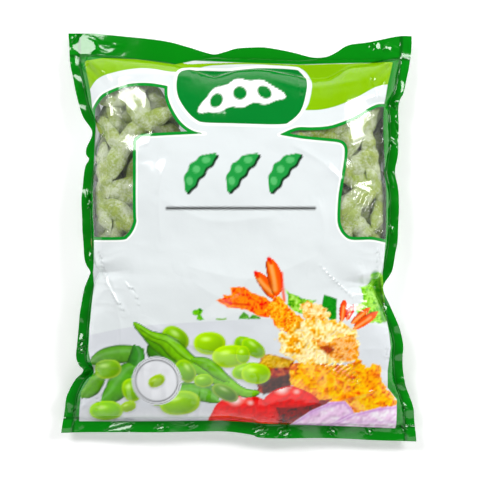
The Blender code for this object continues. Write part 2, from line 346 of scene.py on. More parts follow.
pod = {
    "rings": 44, "sides": 22, "beanDepth": 0.42, "beanWidth": 0.07, "sutureHeight": 0.35,
    "frostHeight": 0.16, "frostSize": 1.1, "lumpHeight": 0.35, "lumpSize": 7.0,
    # the darkest colour on the next line is painted shadow, for pods that lie in the shade of others
    "skin": "#98b02f", "skinLight": "#bfd04a", "skinDark": "#52701c", "frost": "#dfe6d0", "deep": "#2b3119",
    "fullness": 0.55, "stalkTaper": 0.10, "tipTaper": 0.14, "beansFrom": 0.14, "beansSpan": 0.72,
    "mottleSize": 7.143, "crustSize": 2.2222, "patchSize": 13.333,  # mm across a speck of colour or frost
    "hiddenBend": 1.5, "hiddenLength": 1.02, "hiddenGirth": (13.2, 9.6),
    "windowWidth": 1.12, "windowThickness": 0.86, "windowBend": 2.0,
    # the rest of each share is painted shade
    "paintedShadeByDepth": ((12, 1.0), (20, 0.55), (99, 0.3)),  # deeper than so many mm, so much of the skin's colour
    "floorRoom": 8.5, "leastDepth": 6.0, "skinGap": 0.8, "sealRoom": 5.0,
}


def podShape(length, width, thickness, beans, bend, seed):
    # local points: x along the pod, y across its flat, z through it
    rng = random.Random(seed)
    share = np.linspace(0, 1, pod["rings"])
    envelope = np.sin(math.pi * np.clip(share * 0.94 + 0.03, 0, 1)) ** pod["fullness"]
    tip = smoothStep(share, 0.0, pod["stalkTaper"]) * smoothStep(1 - share, 0.0, pod["tipTaper"])
    centres = [(k + 0.5) / beans * pod["beansSpan"] + pod["beansFrom"] + rng.uniform(-0.02, 0.02)
               for k in range(beans)]
    bump = np.zeros_like(share)
    for centre in centres:
        bump = np.maximum(bump, np.exp(-((share - centre) / (0.26 / beans)) ** 2 * 0.9))
    swollen, deepened = pod["beanWidth"], pod["beanDepth"]
    halfWidth = width / 2 * envelope * (1 - swollen + 2 * swollen * bump) * (0.25 + 0.75 * tip)
    halfThick = thickness / 2 * envelope * (1 - deepened + deepened * bump) * (0.3 + 0.7 * tip)
    turns = np.linspace(0, 2 * math.pi, pod["sides"], endpoint=False)
    along = (share - 0.5) * length
    aside = bend * (1 - (2 * share - 1) ** 2)
    points = []
    for i in range(pod["rings"]):
        cos, sin = np.cos(turns), np.sin(turns)
        edge = np.exp(-(sin / 0.22) ** 2) * pod["sutureHeight"] * min(1, halfWidth[i] / 3)
        y = (halfWidth[i] + edge) * cos
        z = halfThick[i] * np.sign(sin) * abs(sin) ** 1.15
        points.extend(zip(np.full(len(turns), along[i]), y + aside[i], z))
    return np.array(points)


def podFaces():
    rings, sides = pod["rings"], pod["sides"]
    faces = []
    for ring in range(rings - 1):
        for side in range(sides):
            after = (side + 1) % sides
            first = ring * sides
            faces.append((first + side, first + sides + side, first + sides + after, first + after))
    faces.append(tuple(range(sides)))
    faces.append(tuple(range(rings * sides - 1, (rings - 1) * sides - 1, -1)))
    return faces


def placedPod(name, centre, axis, up, length, width, thickness, beans, bend, seed, material, shade=1.0):
    local = podShape(length, width, thickness, beans, bend, seed)
    axis = np.array(axis) / np.linalg.norm(axis)
    up = np.array(up) - np.dot(up, axis) * axis
    up /= np.linalg.norm(up)
    side = np.cross(up, axis)
    points = centre + local[:, :1] * axis + local[:, 1:2] * side + local[:, 2:] * up
    outward = local * [0.0, 1.0, 1.6]
    outward /= np.maximum(np.linalg.norm(outward, axis=1, keepdims=True), 1e-6)
    outward = outward[:, 1:2] * side + outward[:, 2:] * up
    push = np.array([pod["lumpHeight"] * noise.noise(Vector(p) / pod["lumpSize"])
                     + pod["frostHeight"] * noise.noise(Vector(p) / pod["frostSize"]) for p in points])
    points = points + outward * push[:, None]
    piece = meshPiece(name, points, podFaces(), material)
    tint = piece.data.attributes.new("podTint", "FLOAT", "POINT")
    tint.data.foreach_set("value", np.full(len(points), random.Random(seed + 5).random(), np.float32))
    # the share of the skin's own colour that this pod keeps; the rest is painted shade
    shading = piece.data.attributes.new("podPaintedLight", "FLOAT", "POINT")
    shading.data.foreach_set("value", np.full(len(points), shade, np.float32))
    return piece


def frozenSkin():
    # fresh green pod skin under a thin white crust of frost: dull, hairy and speckled, with painted shade
    # that darkens the pods lying deeper
    material, tree = newMaterial("frosted pod skin")
    where = addNode(tree, "ShaderNodeTexCoord").outputs["Object"]
    tint = addNode(tree, "ShaderNodeAttribute", attribute_name="podTint").outputs["Fac"]
    mottle = addNode(tree, "ShaderNodeTexNoise", {"Vector": where, "Scale": 1 / (pod["mottleSize"] * mm),
                                                  "Detail": 4.0})
    skin = addNode(tree, "ShaderNodeMix", {"Factor": mottle.outputs["Fac"],
                                           6: (*toLinear(pod["skinDark"]), 1),
                                           7: (*toLinear(pod["skinLight"]), 1)}, data_type="RGBA")
    fresh = addNode(tree, "ShaderNodeMix", {"Factor": tint, 6: skin.outputs[2],
                                            7: (*toLinear(pod["skin"]), 1)}, data_type="RGBA")
    crust = addNode(tree, "ShaderNodeTexNoise", {"Vector": where, "Scale": 1 / (pod["crustSize"] * mm),
                                                 "Detail": 5.0, "Roughness": 0.75})
    patch = addNode(tree, "ShaderNodeTexNoise", {"Vector": where, "Scale": 1 / (pod["patchSize"] * mm),
                                                 "Detail": 3.0})
    both = addNode(tree, "ShaderNodeMath", {0: crust.outputs["Fac"], 1: patch.outputs["Fac"]},
                   operation="ADD")
    cover = addNode(tree, "ShaderNodeMapRange", {"Value": both.outputs[0], "From Min": 0.88, "From Max": 1.16,
                                                 "To Min": 0.03, "To Max": 0.72})
    colour = addNode(tree, "ShaderNodeMix", {"Factor": cover.outputs[0], 6: fresh.outputs[2],
                                             7: (*toLinear(pod["frost"]), 1)}, data_type="RGBA")
    # painted shade: a pod's share from its attribute mixes its skin towards a dark shadow colour, as deeper
    # pods lie in the shade of those above
    shade = addNode(tree, "ShaderNodeAttribute", attribute_name="podPaintedLight").outputs["Fac"]
    deep = addNode(tree, "ShaderNodeMix", {"Factor": shade, 6: (*toLinear(pod["deep"]), 1),
                                           7: colour.outputs[2]}, data_type="RGBA")
    bump = addNode(tree, "ShaderNodeBump", {"Height": both.outputs[0], "Strength": 0.9, "Distance": 0.0009})
    shader = addNode(tree, "ShaderNodeBsdfPrincipled", {"Base Color": deep.outputs[2], "Roughness": 0.65,
                                                        "Normal": bump.outputs[0], "Specular IOR Level": 0.4})
    finishMaterial(tree, shader.outputs[0])
    return material


def podFromNode(name, material, number):
    # the fine pod that stands where a plain CAD pod lies
    points = np.array([v.co[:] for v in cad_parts[name].data.vertices]) / mm
    middle = points.mean(0)
    axis = np.linalg.eigh(np.cov((points - middle).T))[1][:, 2]
    side = np.cross([0, 0, 1], axis)
    side = side / np.linalg.norm(side)
    normal = np.cross(axis, side)
    along, across, through = ((points - middle) @ way for way in (axis, side, normal))
    centre = middle
    for way, span in ((axis, along), (side, across), (normal, through)):
        centre = centre + way * (span.max() + span.min()) / 2
    bendsUp = across.max() + across.min() > across[np.argmax(along)] + across[np.argmin(along)]
    bend = pod["hiddenBend"] if bendsUp else -pod["hiddenBend"]
    return placedPod(name.replace("pod_", "pod."), centre, axis, normal, pod["hiddenLength"] * np.ptp(along),
                     *pod["hiddenGirth"], 2 + number % 2, bend, number * 7 + 3, material)


# the pods that fill the windows: x, y, heading, length, width, depth under the film
leftPods = [(-98, 50, -84, 48, 13.5, 7), (-86, 61, 66, 44, 14.5, 8.5), (-99, 22, -74, 42, 13, 7),
            (-85, 14, -42, 42, 14, 7.5), (-72, 97, -70, 46, 14.5, 7), (-98, 76, -52, 42, 13, 8),
            (-86, 106, 14, 42, 13, 9), (-84, 34, 12, 46, 13, 9.5), (-93, 4, 50, 42, 13, 9),
            (-96, 66, 30, 46, 14, 17), (-88, 84, -8, 46, 14, 16), (-92, 38, -50, 46, 14, 17),
            (-78, 40, 85, 46, 14, 15), (-88, 10, 20, 46, 14, 17), (-66, 94, 15, 46, 14, 15),
            (-101, 2, 82, 44, 13, 13), (-58, 84, -35, 44, 13, 13), (-84, 0, -60, 44, 13, 14),
            (-76, 108, 60, 44, 13, 18), (-98, 96, 40, 44, 13, 15), (-94, 84, 70, 46, 14, 26),
            (-80, 70, -20, 46, 14, 26), (-96, 50, 15, 46, 14, 27), (-84, 30, -75, 46, 14, 26),
            (-96, 14, 0, 46, 14, 26), (-78, 92, 35, 46, 14, 27)]
rightPods = [(84, 53, 32, 44, 14, 7), (90, 39, -24, 44, 13.5, 8.5), (102, 38, -62, 42, 12.5, 7),
             (84, 24, 32, 46, 14, 7), (103, 22, 74, 42, 13, 7), (80, 8, 66, 44, 13.5, 8),
             (94, 3, -50, 44, 13.5, 7), (86, 76, 62, 46, 14.5, 7), (98, 60, -80, 42, 13, 9),
             (92, 66, 15, 46, 14, 17), (78, 66, -40, 44, 14, 14), (99, 88, 60, 42, 13, 11),
             (94, 26, -30, 46, 14, 16), (88, 10, 10, 46, 14, 16), (102, 6, 86, 44, 13, 12),
             (60, 77, 172, 42, 12, 9), (44, 76, 15, 38, 11, 8), (84, 96, 30, 46, 14, 13),
             (100, 60, 80, 44, 13, 15), (92, 84, -10, 46, 14, 26), (84, 52, 80, 46, 14, 26),
             (96, 40, 20, 46, 14, 27), (86, 18, -60, 46, 14, 26), (96, 4, 35, 46, 14, 26),
             (72, 74, 20, 46, 14, 22)]


def fillWindows(material):
    films = [BVHTree.FromPolygons([v.co[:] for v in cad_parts[name].data.vertices],
                                  [list(p.vertices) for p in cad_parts[name].data.polygons])
             for name in ("front_film", "back_film")]

    def under(x, y, depth):
        # where a pod's middle goes, between the two CAD films; neighbours and creases may still cut into it
        top = films[0].ray_cast((x * mm, y * mm, 0.5), (0, 0, -1))[0][2] / mm
        low = films[1].ray_cast((x * mm, y * mm, -0.5), (0, 0, 1))[0][2] / mm
        return np.array([x, y, max(top - depth, min(low + pod["floorRoom"], top - pod["leastDepth"]))])

    def keepInside(piece):
        # a pod at the seal is squeezed flat between the CAD films
        for vertex in piece.data.vertices:
            x, y, z = vertex.co
            low = films[1].ray_cast((x, y, -0.5), (0, 0, 1))[0]
            top = films[0].ray_cast((x, y, 0.5), (0, 0, -1))[0]
            if low and top:
                gap = pod["skinGap"] * mm
                vertex.co.z = min(max(z, low[2] + gap), max(top[2], low[2] + 2 * gap))

    def pushIn(x, y, turn, length, width):
        # how far a pod moves sideways to clear the seal
        reach = np.linspace(-0.5, 0.5, 9)
        px, py = x + length * reach * math.cos(turn), y + length * reach * math.sin(turn)
        half = pod["sealRoom"] + width / 2 * abs(math.sin(turn)) * (1 - abs(2 * reach) ** 3)
        if x < 0:
            return max(0, (np.interp(py, edges[0][:, 1], edges[0][:, 0]) + half - px).max())
        return min(0, (np.interp(py, edges[1][:, 1], edges[1][:, 0]) - half - px).min())

    edges = smoothCurve(bag["leftEdge"]), smoothCurve(bag["rightEdge"])
    made = []
    for side, rows in (("left", leftPods), ("right", rightPods)):
        for number, (x, y, heading, length, width, depth) in enumerate(rows, 1):
            turn = math.radians(heading)
            x = x + pushIn(x, y, turn, length, width)
            step = np.array([math.cos(turn), math.sin(turn)]) * length * 0.3
            across = np.array([-math.sin(turn), math.cos(turn)]) * 4
            ends = under(x - step[0], y - step[1], depth), under(x + step[0], y + step[1], depth)
            sides = under(x - across[0], y - across[1], depth), under(x + across[0], y + across[1], depth)
            centre = (ends[0] + ends[1]) / 2
            normal = np.cross(ends[1] - ends[0], sides[1] - sides[0])
            # deeper pods take a smaller share of their skin colour, so more painted shade
            made.append(placedPod(f"pod.{side}.window.{number:02d}", centre, ends[1] - ends[0], normal,
                                  length, width * pod["windowWidth"], width * pod["windowThickness"],
                                  2 + number % 2, pod["windowBend"] * (-1) ** number, 900 + number,
                                  material, next(shade for limit,
                                                 shade in pod["paintedShadeByDepth"] if depth < limit)))
            keepInside(made[-1])
    return made


makeCamera()
makeStudio()
print("camera and studio ready")

skinMaterial = frozenSkin()
pods = []
podNodes = sorted(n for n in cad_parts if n.startswith("pod_"))
for number, name in enumerate(podNodes):
    piece = podFromNode(name, skinMaterial, number)
    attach(piece, "root")
    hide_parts(name)
    pods.append(piece)
for piece in fillWindows(skinMaterial):
    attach(piece, "root")
    pods.append(piece)
# the clumps in the hidden middle keep their plain CAD shape; with no shade share of their own they take the
# skin's painted shadow colour in full
for name in sorted(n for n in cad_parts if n.startswith("frozen_clump")):
    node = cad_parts[name]
    node.data.materials.clear()
    node.data.materials.append(skinMaterial)
print("pods ready:", len(pods))


ink = {
    "border": "#00870c", "lime": "#86bc00", "panel": "#e2e8e9", "outline": "#fbfdfb", "badge": "#00802a",
    # the darkest green on the next line is painted shade, for the line in the crease along the seals
    "frameGreen": "#06922a", "paintedSealShade": "#013f0b",
    "frameWidth": 2.3, "outlineWidth": 1.3, "badgeOutline": 2.2,
    "edge": 0.3, "paneEdge": 0.2,  # half the width over which one ink, or the pane, gives way to the next
    "richness": 1.25, "gain": 1.03, "beanTint": (1.2, 0.98, 0.7), "frostedPane": "#e8eeea",
    "fineSize": 11.111, "wideSize": 38.46,  # mm across a dimple and a swell of the film
}

# outlines in mm, each with only the points its curve needs
borderInner = [(-114.5, 130.6), (-109.3, 106.7), (-106.3, 79.2), (-107.8, 61.3), (-107.1, 15.8),
               (-106.3, -2), (-107.8, -26), (-107.1, -36.3), (-110.1, -67.6), (-110.8, -83.3),
               (-107.1, -100.4), (-116.8, -114.5), (-119, -136.9), (-118.9, -137), (-12.5, -136.1),
               (35.2, -138.8), (116.7, -142.1), (116.8, -142), (116.8, -119.8), (109.7, -110.8),
               (109.7, -98.9), (111.9, -81), (108.2, -52.7), (106.3, -26), (108.2, 5.4), (108.2, 36.7),
               (106.3, 78.4), (106.7, 94.8), (109.7, 112), (114.2, 129.8), (114.1, 130), (76.9, 129.4),
               (45.6, 128.3), (8.4, 129.4), (-33.3, 131.3), (-47.5, 128.3), (-59.4, 129.8), (-75.1, 132.1),
               (-102, 132.8), (-114.4, 130.7)]
limeLower = [(-112, 106), (-110.1, 109), (-103.4, 117.2), (-90.7, 121.6), (-75.1, 124.2), (-62.4, 123.9),
             (-47.5, 121.6), (-33.3, 124.5), (-20, 127.5), (10, 128.5), (35.2, 126.8), (45.6, 125.4),
             (51.6, 120.1), (53.8, 112), (51.6, 99.3), (48.6, 92.9), (48.7, 92.6), (61.3, 93.3), (74.7, 97),
             (87.4, 103), (100.8, 110.5), (112, 113)]
badgeShape = [(-43.8, 120.9), (-45.6, 113), (-44.9, 105), (-42.3, 98.6), (-37.1, 91.1), (-31, 85.6),
              (-25.1, 83.6), (-6.5, 82.9), (29.2, 82.1), (37.4, 84.4), (44.9, 91.8), (48.6, 102.3),
              (50.1, 114.9), (45.6, 122.4), (39.7, 124.6), (14.3, 125.4), (-6.5, 123.4), (-28.1, 123.7),
              (-38, 123.6)]
leftWindowTop = [(-108, 95), (-102.1, 103.4), (-96.4, 107.1), (-85.9, 111.1), (-78, 112.7), (-69.8, 113.1),
                 (-61.6, 112.5), (-52, 110.7)]
leftWindowNotch = [(-52, 110.7), (-51.7, 102.6), (-48, 92.9), (-41.5, 83.3), (-33.3, 77.5), (-24.4, 75.4)]
leftWindowLeg = [(-70.5, 73.2), (-73.6, 70.8), (-74.7, 65), (-74.7, 18.8), (-74.3, 12.1), (-76.3, 5.7),
                 (-80.3, 0.2), (-85.9, -2), (-112, -2)]
rightWindowTop = [(29.2, 74.5), (41.7, 79.8), (52.7, 80.1), (64.5, 80.9), (74.8, 83.9), (85.9, 89.1),
                  (97, 95.7), (104, 98.2), (114, 98.2)]
rightWindowLeg = [(114, -4.6), (107.2, -3.8), (97, -1.9), (82.2, -1.9), (76.3, 1.4), (72.6, 7.3),
                  (71.5, 14.6), (72.2, 28.6), (74.1, 41.2), (76.3, 54.4), (77, 61.8), (76.3, 66.2),
                  (72.6, 68.9), (60.1, 70.2), (45.4, 71.7), (29.2, 74.5)]


def printFields(x, y):
    fields = {}
    fields["border"] = signedDistance(x, y, np.array(borderInner))
    lower = smoothCurve(limeLower, 8)
    fields["lime"] = signedDistance(x, y, np.concatenate([lower, [(140, 170), (-140, 170)]]))
    fields["badge"] = signedDistance(x, y, smoothCurve(badgeShape, 8, closed=True))
    left = np.concatenate([smoothCurve(leftWindowTop, 8), smoothCurve(leftWindowNotch, 8),
                           smoothCurve(leftWindowLeg, 6)])
    right = np.concatenate([smoothCurve(rightWindowTop, 8), smoothCurve(rightWindowLeg, 6)])
    fields["window"] = np.minimum(signedDistance(x, y, left), signedDistance(x, y, right))
    return fields


class Canvas:
    # one colour for each point of the film, painted shape by shape
    def __init__(self, x, y):
        self.x, self.y = x, y
        self.colour = np.tile(np.array(toLinear(ink["panel"])), x.shape + (1,))

    def blend(self, mask, colour):
        mask = np.clip(mask, 0, 1)[..., None]
        self.colour = self.colour * (1 - mask) + colour * mask

    def enrich(self, saturation, gain):
        grey = self.colour.mean(axis=-1, keepdims=True)
        strong = smoothStep(np.ptp(self.colour, axis=-1)[..., None], 0.05, 0.2)
        richer = np.clip(grey + saturation * (self.colour - grey), 0, 1) * gain
        self.colour = np.clip(self.colour * (1 - strong) + richer * strong, 0, 1)

    def local(self, centre, turn):
        c, s = math.cos(math.radians(turn)), math.sin(math.radians(turn))
        dx, dy = self.x - centre[0], self.y - centre[1]
        return dx * c + dy * s, -dx * s + dy * c

    def bean(self, centre, size, turn=0, colour="#86c81e", shine=0.75, shade=0.55):
        # a plump seed lit from the upper left, with a soft shadow under it
        p, q = self.local(centre, turn)
        a, b = size[0] / 2, size[1] / 2
        radius = (abs(p / a) ** 2.2 + abs(q / b) ** 2.2) ** (1 / 2.2)
        self.blend(0.30 * smoothStep(-((abs(p / a + 0.05) ** 2 + abs((q + 1.3) / b) ** 2) ** 0.5), -1.25,
                                     -0.85), np.array(toLinear("#7d8478")))
        dx, dy = (self.x - centre[0]) / a, (self.y - centre[1]) / b
        light = np.clip(0.62 - 0.22 * dx + 0.38 * dy, 0, 1.2) * (1 - shade * 0.55 * radius**3)
        base = np.array(toLinear(colour)) * ink["beanTint"] * (0.42 + 0.76 * light)[..., None]
        glint = np.exp(-(((p / a + 0.25) / 0.34) ** 2 + ((q / b - 0.38) / 0.22) ** 2))
        base = base + shine * 0.38 * glint[..., None] * np.array([1.0, 1.0, 0.7])
        base = base + 0.16 * smoothStep(radius, 0.72, 0.98)[..., None] * np.array([1.0, 1.0, 0.35])
        self.blend(smoothStep(-radius, -1.06, -0.97), np.clip(base, 0, 1))

    def beans(self, rows):
        # x, y, length, width, turn, colour
        for x, y, length, width, turn, colour in rows:
            self.bean((x, y), (length, width), turn, colour)

    def leaf(self, points, width, colour="#5d9a35", vein=0.35, rim=0.5, lumps=0.0, seed=1):
        # a tapered body along a curved middle line, as a pod half or a leaf
        line = smoothCurve(points, 10)
        best = np.full(self.x.shape, 1e9)
        share = np.zeros(self.x.shape)
        side = np.zeros(self.x.shape)
        for i, ((ax, ay), (bx, by)) in enumerate(zip(line, line[1:])):
            ex, ey = bx - ax, by - ay
            t = np.clip(((self.x - ax) * ex + (self.y - ay) * ey) / max(ex * ex + ey * ey, 1e-9), 0, 1)
            dx, dy = self.x - ax - t * ex, self.y - ay - t * ey
            far = np.hypot(dx, dy)
            nearer = far < best
            best = np.where(nearer, far, best)
            share = np.where(nearer, (i + t) / (len(line) - 1), share)
            side = np.where(nearer, np.sign(ex * dy - ey * dx), side)
        half = width / 2 * np.sin(math.pi * np.clip(share * 0.96 + 0.02, 0, 1)) ** 0.6
        half = half * (1 + lumps * np.cos(share * 6 * math.pi))
        ratio = best / np.maximum(half, 0.3)
        light = 0.95 + 0.25 * side * ratio - 0.35 * ratio**4 + 0.25 * (grain(self.x, self.y, 2.2, seed) - 0.5)
        base = np.array(toLinear(colour)) * np.clip(light, 0.2, 1.5)[..., None]
        base = base + vein * 0.15 * np.exp(-((ratio - 0.35) / 0.2) ** 2)[..., None] * (side > 0)[..., None]
        self.blend(smoothStep(-ratio, -1.08, -0.98) * (half > 0.2), np.clip(base, 0, 1))
        self.blend(rim * np.exp(-((ratio - 1) / 0.12) ** 2) * (ratio < 1.1), np.array(toLinear("#2c5a14")))

    def patch(self, points, colours, size=2.5, seed=1, soft=0.5, rough=0.0, relief=0.6):
        # a shape of mottled colour, its edge crumbled by rough mm
        far = signedDistance(self.x, self.y, np.array(points, float))
        far = far + rough * (grain(self.x, self.y, 2.0, seed + 9) - 0.5) * 2
        one = grain(self.x, self.y, size, seed) * 0.6 + grain(self.x, self.y, size / 2.3, seed + 3) * 0.4
        palette = np.array([toLinear(c) for c in colours])
        place = np.clip((one - 0.2) / 0.6, 0, 0.999) * (len(colours) - 1)
        index = place.astype(int)
        part = (place - index)[..., None]
        # lumps lit from the upper left
        nearby = self.x + 0.9, self.y - 0.9
        lit = one - grain(*nearby, size, seed) * 0.6 - grain(*nearby, size / 2.3, seed + 3) * 0.4
        colour = (palette[index] * (1 - part) + palette[index + 1] * part) * (1 + relief * lit)[..., None]
        self.blend(smoothStep(-far, -soft, soft), np.clip(colour, 0, 1))
        return far

    def stroke(self, points, width, colour, soft=0.4, strength=1.0):
        far = distanceTo(self.x, self.y, smoothCurve(points, 8))
        self.blend(strength * smoothStep(-far, -width / 2 - soft, -width / 2 + soft),
                   np.array(toLinear(colour)))


def paintPlate(canvas):
    # the pale plate with salad leaves behind it
    x, y = canvas.x, canvas.y
    bandTop = smoothCurve([(-125, -76), (-108, -71.6), (-88, -67), (-68.3, -64.2), (-40.5, -62.3),
                           (-10, -60.5), (30, -59), (70, -60), (93.6, -62.8), (108.4, -66.9), (125, -74)])
    level = np.interp(x, bandTop[:, 0], bandTop[:, 1])
    shade = 0.75 - 0.35 * smoothStep(y, -125, -70) * smoothStep(x, -40, 40)
    canvas.blend(shade * smoothStep(level - y, -0.4, 0.4), np.array(toLinear("#d3d6dd")))
    canvas.blend(0.5 * smoothStep(-y, 122, 132), np.array(toLinear("#e9ebee")))
    # cress
    canvas.patch([(-33, -53), (-29, -51.5), (-25.5, -52.5), (-27.5, -56), (-24.8, -60), (-31, -60.2),
                  (-30, -57), (-34, -56)], ["#2f8a14", "#7cc23a", "#4ba31f"], 2.0, 3, rough=0.5)
    canvas.stroke([(-16, -59.3), (-12, -59.6), (-9.5, -59.2)], 1.2, "#7db04a")
    canvas.patch([(0.5, -57.5), (3.5, -54), (7, -56.5), (8, -59.3), (0, -59.3)], ["#2f7a24", "#67a64a"],
                 2.0, 4)
    canvas.patch([(7, -59.3), (10, -56), (15, -57.5), (16, -59.3)], ["#2f7a24", "#67a64a"], 2.0, 5)
    # lettuce behind
    canvas.patch([(33.4, -37.3), (37, -40.5), (43, -42), (45.2, -44.5), (52, -45.5), (56, -46), (50, -50),
                  (46, -55), (40, -54), (35, -49), (36, -44)], ["#3f8d22", "#8cc84e", "#b4dc7c"], 2.6, 7,
                 rough=0.7)
    canvas.patch([(62.1, -41.9), (66, -43), (71.3, -44.7), (70.8, -60), (66, -60), (60, -50.5)],
                 ["#14641a", "#2c8a2c", "#1c7420"], 3.5, 8, rough=0.3)
    canvas.patch([(88.9, -36.4), (96.4, -34), (97.3, -25.5), (104.7, -25.7), (109, -30), (111, -60),
                  (106, -63), (95.4, -62.3), (90, -58), (85, -54), (84, -50.5), (90, -47), (91, -42)],
                 ["#4c9a22", "#8ccc48", "#a9dc6c", "#5fae30"], 3.0, 9, rough=0.9)
    canvas.stroke([(100, -27), (102, -38), (105, -48), (107, -60)], 5.0, "#1c7a1a", 1.5, 0.75)
    canvas.stroke([(104, -30), (106, -44), (109, -56)], 2.0, "#0e5a12", 1.0, 0.8)


def paintPrawns(canvas):
    # fried prawns: orange tails, crumbed bodies and a slice of sausage under them
    tail = ["#e8430e", "#fb7a12", "#ff9a2a", "#e9500e"]
    canvas.patch([(-16.4, -45.6), (-10.9, -43.6), (-11.4, -41.5), (-5, -42), (-6.3, -36.4), (3.9, -35.9),
                  (9, -40), (19.5, -43.8), (26, -49), (22, -58.5), (14, -57), (6.5, -53), (-2, -51.5),
                  (-8, -50.8)], tail, 3.2, 11, rough=0.4)
    canvas.stroke([(-14, -46), (-4, -48), (8, -49)], 1.5, "#c92f0a", 0.8, 0.7)
    canvas.stroke([(-4, -39), (4, -42), (14, -47)], 1.2, "#d8440c", 0.8, 0.6)
    for start, end, width, seed in (((12.2, -25.5), (25, -44), 8.5, 12),
                                    ((21.8, -15.5), (27.5, -42), 10.5, 13)):
        x, y = (start[0] + end[0]) / 2, (start[1] + end[1]) / 2
        canvas.leaf([start, (x + 1.5, y), end], width, "#f0691e", 0.0, 0.0, seed=seed)
        canvas.stroke([(start[0] + 1, start[1] - 3), (x + 0.8, y - 1), (end[0] - 1.0, end[1] + 4)],
                      width * 0.3, "#fbc98e", 1.5, 0.6)
        canvas.stroke([start, (start[0] + 1.5, start[1] - 3)], 2.6, "#d9381a", 1.0, 0.9)
    canvas.stroke([(31, -26), (31.5, -34), (33, -46)], 2.2, "#ea4a12", 0.8, 0.8)
    # crumb coats
    crumb = ["#ea9a3c", "#f6c468", "#fbdf9e", "#fdeec6", "#f6cd7c"]
    golden = ["#d9700c", "#ec9618", "#f5b034", "#f9c658", "#f0a020"]
    canvas.patch([(19, -52), (28, -42), (35, -48), (41, -55), (50, -62), (52, -70), (40, -72), (28, -66)],
                 ["#e86a10", "#f89a2c", "#fbc46a", "#f2842a"], 2.4, 14, rough=1.2)
    canvas.patch([(43, -48), (50, -46.5), (60, -49), (67, -56), (62, -60), (48, -60)],
                 ["#ee9a3c", "#f9cf8a", "#fde6bc"], 2.2, 15, rough=1.4)
    canvas.patch([(30, -66), (36, -70), (41, -62), (47.3, -59.5), (58, -58), (65.8, -59.5), (73.2, -61.4),
                  (84.3, -66), (87.6, -76), (86.2, -90), (65.8, -93), (47.3, -92.9), (35, -86), (28.7, -82.7),
                  (31, -78), (27, -74)], crumb, 3.6, 16, rough=1.6, relief=1.0)
    canvas.patch([(54, -74), (62, -76), (72, -74), (80, -70), (86, -74), (87, -88), (78, -92), (66, -86)],
                 ["#d9822a", "#f4a860", "#f9c890", "#e98c3a"], 2.8, 17, rough=1.4)
    canvas.patch([(58, -80), (66, -78), (70, -82), (64, -85)], ["#8a3208", "#b4540e"], 2.0, 18, rough=0.8,
                 soft=1.2)
    # sausage under the prawns
    canvas.patch([(17.6, -84.5), (27, -86), (40, -90), (40, -108), (31, -111), (20, -114), (14, -113),
                  (12, -98)], ["#5a1408", "#962c14", "#b4591e", "#7a1c0c"], 4.5, 19, rough=0.8)
    canvas.patch([(17.6, -84.5), (27, -86), (40, -90), (36, -94), (24, -95), (15, -93)],
                 ["#c39a3a", "#e0bd62", "#b98a30"], 3.0, 20, rough=0.8, soft=1.2)
    canvas.patch([(15, -104), (28, -102), (40, -98), (38, -107), (30, -111), (18, -115)],
                 ["#33120c", "#57221a"], 2.5, 21, rough=0.5, soft=1.0)
    canvas.patch([(38, -92.9), (45, -91), (52.8, -92), (71.3, -92.9), (82.5, -92.9), (86, -89), (89.9, -90.1),
                  (93, -96), (98, -92.5), (103.8, -93.8), (104.7, -104.9), (110, -113), (117.5, -121.5),
                  (115.8, -124.4), (93.6, -127.5), (84.3, -130), (76.9, -121), (60.2, -121), (47.3, -112.5),
                  (38, -107.5), (37, -100)], golden, 3.8, 22, rough=1.3, relief=0.9)
    for number in range(26):
        rng = random.Random(300 + number)
        ax, ay = rng.uniform(44, 108), rng.uniform(-122, -95)
        if signedDistance(np.array([[ax]]), np.array([[ay]]), np.array([(40, -94), (100, -97), (112, -121),
                                                                        (60, -119), (41, -106)]))[0, 0] < -1:
            turn = rng.uniform(-0.9, 0.1)
            canvas.stroke([(ax, ay), (ax + 4 * math.cos(turn), ay + 4 * math.sin(turn))], 1.2,
                          rng.choice(["#c2500a", "#fbd878", "#e07a0e", "#d8420e"]), 0.6, 0.6)
    # right-hand tails
    for start, end, width, colour in (((76.9, -46), (75, -61), 5.4, "#f4601c"),
                                      ((83.6, -49.5), (78.5, -60), 5.0, "#e3301c"),
                                      ((95.6, -51.8), (82, -63), 4.6, "#f4702a"),
                                      ((101.6, -55), (84, -66.5), 6.4, "#f26a2a")):
        canvas.leaf([start, ((start[0] + end[0]) / 2, (start[1] + end[1]) / 2 + 0.5), end], width, colour,
                    0.0, 0.0)
        canvas.stroke([(start[0] * 0.7 + end[0] * 0.3, start[1] * 0.7 + end[1] * 0.3), end], width * 0.25,
                      "#fbcfa0", 0.9, 0.55)


